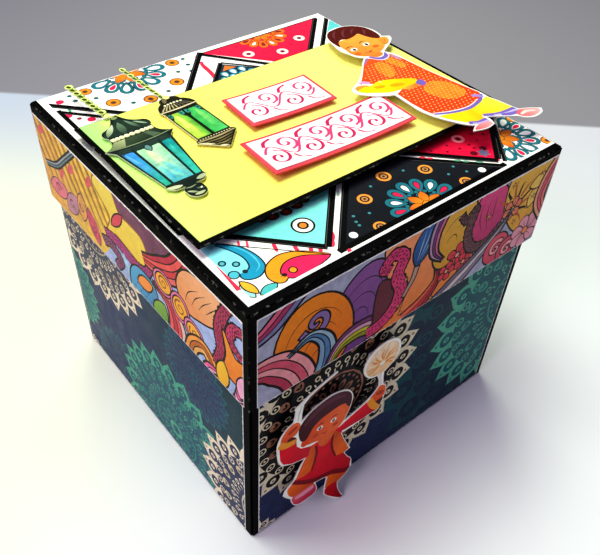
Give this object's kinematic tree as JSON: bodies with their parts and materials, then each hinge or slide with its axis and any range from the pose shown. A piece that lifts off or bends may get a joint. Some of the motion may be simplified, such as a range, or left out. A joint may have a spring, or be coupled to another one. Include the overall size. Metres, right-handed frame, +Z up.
{
  "type": "explosion box",
  "caption": "Square handmade gift box of nested folded card layers that fall open when the lift-off lid comes away, with patterned paper and raised paper cut-outs.",
  "frame": {"origin": "on the table, under the middle of the box's base", "axes": "+Z up, +X along the front, the front with the sparkler cut-out faces -Y"},
  "size_m": [0.1335, 0.1343, 0.128],
  "materials": {
    "black_card": "matt black card with grey-worn creases",
    "patchwork_paper": "satin printed paper, patchwork of rosettes and rings",
    "doodle_paper": null,
    "lace_paper": "satin printed paper, lace rounds on dark blue and green",
    "yellow_card": "satin printed card, green fading to yellow",
    "white_card": null,
    "red_card": "matt red card",
    "lantern_paper": "printed paper cut-out",
    "figure_paper": "printed paper cut-out with a white cut edge",
    "white_foam": "white foam mounting pad",
    "cream_mat": "plain cream card",
    "gold_mat": "plain ochre card"
  },
  "bodies": {
    "box": {"outer_layer": "black_card", "middle_layer": "black_card", "inner_layer": "black_card", "outer_front_mat": "cream_mat", "outer_right_mat": "cream_mat", "outer_back_mat": "cream_mat", "outer_left_mat": "cream_mat", "middle_front_mat": "gold_mat", "middle_right_mat": "gold_mat", "middle_back_mat": "gold_mat", "middle_left_mat": "gold_mat", "inner_front_mat": "cream_mat", "inner_right_mat": "cream_mat", "inner_back_mat": "cream_mat", "inner_left_mat": "cream_mat", "floor_mat": "gold_mat", "box_front_print": "lace_paper", "box_right_print": "lace_paper", "box_back_print": "lace_paper", "box_left_print": "lace_paper", "sparkler_child": "figure_paper", "sparkler_child_foam_pads": "white_foam"},
    "lid": {"lid_shell": "black_card", "lid_top_print": "patchwork_paper", "lid_front_print": "doodle_paper", "lid_right_print": "doodle_paper", "lid_back_print": "doodle_paper", "lid_left_print": "doodle_paper", "greeting_foam_pads": "white_foam", "greeting_mat": "black_card", "greeting_card": "yellow_card", "tag_foam_pads": "white_foam", "small_tag_mat": "red_card", "small_tag_card": "white_card", "large_tag_mat": "red_card", "large_tag_card": "white_card", "large_lantern": "lantern_paper", "large_lantern_foam_pads": "white_foam", "small_lantern": "lantern_paper", "small_lantern_foam_pads": "white_foam", "tray_child": "figure_paper", "tray_child_foam_pads": "white_foam"}
  },
  "joints": [
    {"name": "lid_lift", "type": "slide", "parent": "box", "child": "lid", "axis": [0, 0, 1], "range_m": [0, 0.08]}
  ]
}
